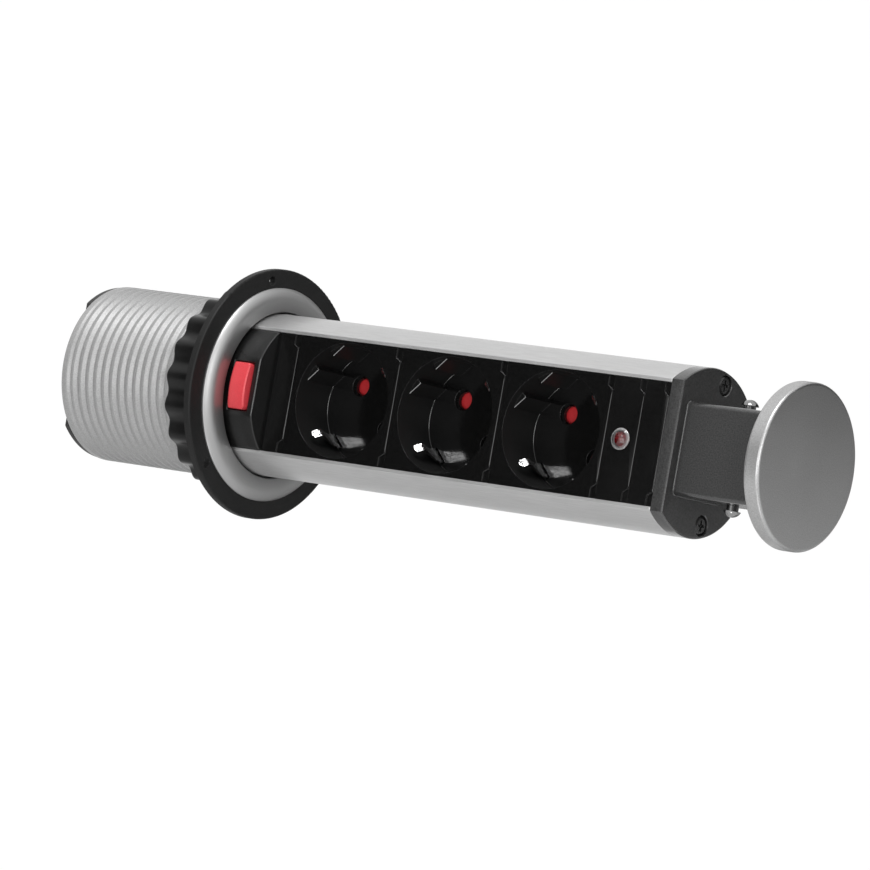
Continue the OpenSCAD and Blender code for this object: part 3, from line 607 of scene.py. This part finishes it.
# Half of a clip's middle line as (distance from the socket's axis, depth): tip, bulge, leg, strap
CLIP_HALF = ((17.4, -14.05), (15.2, -11.45), (17.6, -3.98), (17.6, 5.45))
CLIP_BULGE_H = 11.2
# Radii of the bends from the bulge to the strap
CLIP_BENDS = (1.3, 2.5, 0.8)
BEND_STEPS = 8
CLIP_FINE_STEPS = 4
CLIP_COLUMNS = 8
CLIP_SIDE_POWER = 12


def filleted(points, radii):
    """Open path through the points, with a round of the given radius at each inner one."""
    path = [Vector(points[0])]
    for before, corner, after, radius in zip(points, points[1:], points[2:], radii):
        corner = Vector(corner)
        back = (Vector(before) - corner).normalized()
        ahead = (Vector(after) - corner).normalized()
        half = back.angle(ahead) / 2
        reach = radius / math.tan(half)
        for i in range(BEND_STEPS + 1):
            t = i / BEND_STEPS
            path.append((1 - t) ** 2 * (corner + back * reach) + 2 * t * (1 - t) * corner
                        + t ** 2 * (corner + ahead * reach))
    path.append(Vector(points[-1]))
    return path


def clip_path():
    """Middle line of a whole clip in fine steps, with both legs and round bends."""
    points = [*CLIP_HALF, *((-r, y) for r, y in reversed(CLIP_HALF))]
    path = filleted(points, (*CLIP_BENDS, *reversed(CLIP_BENDS)))
    fine = [a.lerp(b, t / CLIP_FINE_STEPS)
            for a, b in zip(path, path[1:]) for t in range(CLIP_FINE_STEPS)]
    return fine + [path[-1]]


def clip_width(y, from_end):
    """Width of the clip: full up to the floor, then a taper to the bulge, and a round end."""
    share = min(max((WELL_FLOOR_Y - y) / CLIP_BULGE_H, 0.0), 1.0)
    width = CLIP_W + (CLIP_TIP_W - CLIP_W) * share
    inside = CLIP_END_R - min(from_end, CLIP_END_R)
    round_off = CLIP_END_R - math.sqrt(max(CLIP_END_R ** 2 - inside ** 2, 0.0))
    return width - 2 * round_off


def clip_row(point, side, width):
    """Points round the clip's section at one place, crowned across."""
    row = []
    for face in (1, -1):
        for j in range(CLIP_COLUMNS + 1):
            u = (j / CLIP_COLUMNS - 0.5) * face
            lift = CLIP_CROWN * (1 - 4 * u * u) + face * CLIP_T / 2
            lift -= face * CLIP_SIDE_FALL * (abs(2 * u) ** CLIP_SIDE_POWER)
            row.append((*(point + side * lift), u * width))
    return row


def build_clip(k):
    """Bent strip of one socket, set at 45 degrees."""
    path = clip_path()
    lengths = [0.0]
    for a, b in zip(path, path[1:]):
        lengths.append(lengths[-1] + (b - a).length)
    rows = []
    for i, point in enumerate(path):
        along = path[min(i + 1, len(path) - 1)] - path[max(i - 1, 0)]
        side = Vector((along.y, -along.x)).normalized()
        from_end = min(lengths[i], lengths[-1] - lengths[i])
        rows.append(clip_row(point, side, clip_width(point.y, from_end)))
    bm = capped(rows)
    turn = math.sqrt(0.5)
    centre = FIRST_SOCKET_Z + SOCKET_PITCH * (k - 1)
    for v in bm.verts:
        r, y, w = v.co
        v.co = ((w - r) * turn, y, centre + (w + r) * turn)
    name = f"earth_clip_{k}"
    add_piece(name + "_bent", to_mesh(bm, name), name, 60.0)


# Latch spring

WIRE_STEPS = 36
WIRE_SIDES = 10


def build_spring():
    """Wound wire of the spring that the pressed button squeezes, given a mesh of its own."""
    steps = SPRING_TURNS * WIRE_STEPS
    rows = []
    for i in range(steps + 1):
        a = 2 * math.pi * i / WIRE_STEPS
        y = SPRING_FRONT_Y + (SPRING_BACK_Y - SPRING_FRONT_Y) * i / steps
        row = []
        for s in range(WIRE_SIDES):
            b = 2 * math.pi * s / WIRE_SIDES
            r = SPRING_R + WIRE_R * math.cos(b)
            row.append((r * math.cos(a), y + WIRE_R * math.sin(b), BUTTON_MID_Z + r * math.sin(a)))
        rows.append(row)
    mesh = to_mesh(capped(rows), "latch_spring")
    piece = add_piece("latch_spring_wound", mesh, "latch_spring", 60.0)
    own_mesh(piece)


build_tube()
build_rim_ring()
build_nut()
build_lens()
build_bulb()
build_spring()
for k in SOCKETS:
    build_clip(k)


# Copies of the other CAD nodes, each with the edge radius of its kind

# Steps across an edge: one makes a flat, three make it round
FLAT = 1
ROUND = 3


def round_edges(bm, width, steps, chosen):
    """Rounds the sharp edges of a CAD mesh, or the chosen ones among them."""
    edges = [e for e in bm.edges if e.is_manifold and e.calc_face_angle(0.0) > SHARP_EDGE]
    if chosen:
        edges = [e for e in edges if chosen(e)]
    bmesh.ops.bevel(bm, geom=edges, offset=width * MM, offset_type="OFFSET", segments=steps,
                    profile=0.5, affect="EDGES", clamp_overlap=False, loop_slide=False)


def rounded_copy(node, *rounds):
    """Copy of a CAD node with rounded edges, as on a moulded or cut piece.

    Each round is a width, a count of steps and a test for its edges."""
    bm = bmesh.new()
    bm.from_mesh(frame["nodes"][node].data)
    bmesh.ops.remove_doubles(bm, verts=bm.verts, dist=MERGE)
    for width, steps, chosen in rounds:
        round_edges(bm, width, steps, chosen)
    mesh = bpy.data.meshes.new(node + "_rounded")
    bm.to_mesh(mesh)
    bm.free()
    if "custom_normal" in mesh.attributes:
        mesh.attributes.remove(mesh.attributes["custom_normal"])
    piece = add_piece(node + "_rounded", mesh, node, 40.0)
    even = piece.modifiers.new("even_normals", "WEIGHTED_NORMAL")
    even.keep_sharp = True


def below_disc(edge):
    """True for the edges of the disc's tongue. The disc's own edges are round already."""
    return all(v.co.z < (DISC_Z - 0.1) * MM for v in edge.verts)


def screw_hole_rim(edge):
    """True for the upper rims of the flange's screw holes. Its outer edge is round already."""
    level = all(abs(v.co.z - FLANGE_T * MM) < ON_PLANE for v in edge.verts)
    low, high = HOLE_RING
    return level and all(low * MM < v.co.xy.length < high * MM for v in edge.verts)


def seam_edge(edge):
    """True for the straight edges across the front of a front piece."""
    a, b = (v.co for v in edge.verts)
    level = abs(a.z - b.z) < MERGE and abs(a.y - b.y) < MERGE
    return level and abs(a.y - FRONT_Y * MM) < ON_PLANE and abs(a.x - b.x) > 5 * MM


def floor_edge(edge):
    """True for the round corner between the floor and the wall of a well."""
    level = all(abs(v.co.y - WELL_FLOOR_Y * MM) < ON_PLANE for v in edge.verts)
    middle = (edge.verts[0].co + edge.verts[1].co) / 2 / MM
    near = round((middle.z - FIRST_SOCKET_Z) / SOCKET_PITCH)
    radius = math.hypot(middle.x, middle.z - FIRST_SOCKET_Z - SOCKET_PITCH * near)
    return level and radius > WELL_R - 0.2


def rib_edge(edge):
    """True for the outer edges of the rib tops in a well."""
    return edge.is_convex and all(abs(v.co.y - RIB_TOP_Y * MM) < ON_PLANE for v in edge.verts)


ROUND_EDGES = {
    "clamp_washer": 0.3, "profile": 0.25, "end_screws": 0.12, "neck_screws": 0.1,
    "latch_button": 0.4, "latch_back": 0.3, "bottom_cap": 0.4, "bottom_screws": 0.12,
    "cord_inlet": 0.3, "line_bar": 0.1, "neutral_bar": 0.1, "earth_bar": 0.1,
}
FLAT_EDGES = {"guide_block": 0.3, "end_cap": 0.25}
FRONT_PIECES = ["lower_spacer", "led_spacer", "upper_spacer"]
for k in SOCKETS:
    ROUND_EDGES[f"shutter_{k}"] = 0.2
    ROUND_EDGES[f"socket_back_{k}"] = 0.3
    FRONT_PIECES.append(f"socket_{k}")
FRONT_ROUNDS = (
    (SEAM_EDGE, FLAT, seam_edge), (RIB_EDGE, FLAT, rib_edge), (FLOOR_EDGE, FLAT, floor_edge),
    (FRONT_PIECE_EDGE, ROUND, None),
)
for node, radius in ROUND_EDGES.items():
    rounded_copy(node, (radius, ROUND, None))
for node, width in FLAT_EDGES.items():
    rounded_copy(node, (width, FLAT, None))
for node in FRONT_PIECES:
    rounded_copy(node, *FRONT_ROUNDS)
rounded_copy("pull_disc", (TONGUE_EDGE, ROUND, below_disc))
rounded_copy("desk_flange", (HOLE_EDGE, ROUND, screw_hole_rim))


# Floor, cards and light, in metres

FLOOR_Z = -0.30
# Light of the floor as the camera sees it, and the share of it that leaves room for the shadow
FLOOR_GLOW = 1.02
FLOOR_GLOW_SHARE = 0.97
FLOOR_CARD_Z = FLOOR_Z + 0.005
AMBIENT = 0.4
LAMP_TARGET = (0.0, 0.0, 0.07)


def seen_directly(tree):
    """1 for what the camera, a mirror or glass sees, and 0 for the light that surfaces share."""
    path = tree.nodes.new("ShaderNodeLightPath")
    total = path.outputs["Is Camera Ray"]
    for output in ("Is Glossy Ray", "Is Transmission Ray"):
        add = tree.nodes.new("ShaderNodeMath")
        add.operation = "MAXIMUM"
        tree.links.new(total, add.inputs[0])
        tree.links.new(path.outputs[output], add.inputs[1])
        total = add.outputs[0]
    return total


def add_sheet(name, size, material):
    """Level sheet of the studio, which isn't part of the object."""
    bm = bmesh.new()
    bmesh.ops.create_grid(bm, x_segments=8, y_segments=8, size=0.5)
    bmesh.ops.scale(bm, verts=bm.verts, vec=(*size, 1.0))
    mesh = bpy.data.meshes.new(name)
    bm.to_mesh(mesh)
    bm.free()
    mesh.materials.append(material)
    sheet = bpy.data.objects.new(name, mesh)
    bpy.context.scene.collection.objects.link(sheet)
    return sheet


def build_floor():
    """Pale floor, which looks white and keeps the object's shadow."""
    material, tree, shader = start_material("pale_floor", {
        "Base Color": (*grey(0.95), 1.0), "Roughness": 0.9})
    glow = tree.nodes.new("ShaderNodeEmission")
    glow.inputs["Strength"].default_value = FLOOR_GLOW
    share = tree.nodes.new("ShaderNodeMath")
    share.operation = "MULTIPLY"
    share.inputs[1].default_value = FLOOR_GLOW_SHARE
    mix = tree.nodes.new("ShaderNodeMixShader")
    tree.links.new(seen_directly(tree), share.inputs[0])
    tree.links.new(share.outputs[0], mix.inputs["Fac"])
    tree.links.new(shader.outputs["BSDF"], mix.inputs[1])
    tree.links.new(glow.outputs["Emission"], mix.inputs[2])
    tree.links.new(mix.outputs["Shader"], tree.nodes["Material Output"].inputs["Surface"])
    add_sheet("floor", (12.0, 12.0), material).location.z = FLOOR_Z


def add_card(name, place, size, level, target, far_level=None):
    """Grey card of the studio, which only shows in what the surfaces mirror.

    A far level shades the card along its width."""
    material, tree, shader = start_material(name, {
        "Base Color": (*grey(level), 1.0), "Roughness": 1.0, "Specular IOR Level": 0.0})
    if far_level:
        coords = tree.nodes.new("ShaderNodeTexCoord")
        split = tree.nodes.new("ShaderNodeSeparateXYZ")
        tree.links.new(coords.outputs["Generated"], split.inputs["Vector"])
        tint(tree, split.outputs["X"], shader.inputs["Base Color"], grey(level), grey(far_level))
    card = add_sheet(name, size, material)
    card.location = place
    aim = Vector(target) - Vector(place)
    card.rotation_euler = aim.to_track_quat("Z", "Y").to_euler()
    card.visible_camera = False
    card.visible_diffuse = False
    card.visible_shadow = False


def build_world():
    """Soft even light, which looks white where it is seen directly."""
    world = bpy.data.worlds.new("studio")
    bpy.context.scene.world = world
    world.use_nodes = True
    tree = world.node_tree
    soft = tree.nodes["Background"]
    soft.inputs["Color"].default_value = (1.0, 1.0, 1.0, 1.0)
    soft.inputs["Strength"].default_value = AMBIENT
    white = tree.nodes.new("ShaderNodeBackground")
    white.inputs["Color"].default_value = (1.0, 1.0, 1.0, 1.0)
    mix = tree.nodes.new("ShaderNodeMixShader")
    tree.links.new(seen_directly(tree), mix.inputs["Fac"])
    tree.links.new(soft.outputs["Background"], mix.inputs[1])
    tree.links.new(white.outputs["Background"], mix.inputs[2])
    tree.links.new(mix.outputs["Shader"], tree.nodes["World Output"].inputs["Surface"])


def add_lamp(name, place, size, power):
    """Rectangular lamp that looks at the part, with its power in watts."""
    lamp = bpy.data.lights.new(name, "AREA")
    lamp.shape = "RECTANGLE"
    lamp.size, lamp.size_y = size
    lamp.energy = power
    holder = bpy.data.objects.new(name, lamp)
    holder.location = place
    aim = Vector(LAMP_TARGET) - Vector(place)
    holder.rotation_euler = aim.to_track_quat("-Z", "Y").to_euler()
    holder.visible_camera = False
    bpy.context.scene.collection.objects.link(holder)


def add_camera():
    """Camera at the photograph's place, lens and roll."""
    place = (0.092147, -1.473642, 1.225240)
    right = Vector((-0.17298, 0.60024, 0.78089)).normalized()
    back = Vector((0.04610, -0.78704, 0.61518)).normalized()
    up = back.cross(right).normalized()
    right = up.cross(back)
    camera = bpy.data.cameras.new("camera")
    camera.sensor_width = 36.0
    camera.lens = 237.96
    camera.clip_end = 50.0
    holder = bpy.data.objects.new("camera", camera)
    turn = Matrix((right, up, back)).transposed().to_4x4()
    holder.matrix_world = Matrix.Translation(place) @ turn
    bpy.context.scene.collection.objects.link(holder)
    bpy.context.scene.camera = holder


build_floor()
build_world()
add_card("back_low_card", (0.0, 0.42, 0.16), (1.2, 0.52), 0.36, (0.0, -1.0, 0.16))
add_card("back_high_card", (-0.26, 0.42, 0.66), (0.68, 0.48), 0.20, (-0.26, -1.0, 0.66))
add_card("disc_card", (-0.006, 0.11, 0.30), (0.30, 0.24), 0.03, (0.0, 0.0, 0.2145), 0.62)
add_card("front_card", (0.0, -0.56, FLOOR_CARD_Z), (0.50, 0.60), 0.02, (0.0, -0.56, 1.0))
add_card("side_card", (0.52, 0.10, FLOOR_CARD_Z), (0.5, 0.9), 0.95, (0.52, 0.10, 1.0))
add_lamp("key", (-1.25, -0.60, 0.38), (0.55, 0.55), 13.0)
add_lamp("strip", (-0.17, -1.02, 1.41), (0.9, 0.25), 6.0)
add_lamp("fill", (0.25, -1.40, 0.20), (0.8, 0.8), 5.0)
add_lamp("glint", (1.18, -0.66, 0.45), (0.25, 0.25), 1.5)
add_camera()
bpy.context.scene.view_settings.view_transform = "Standard"
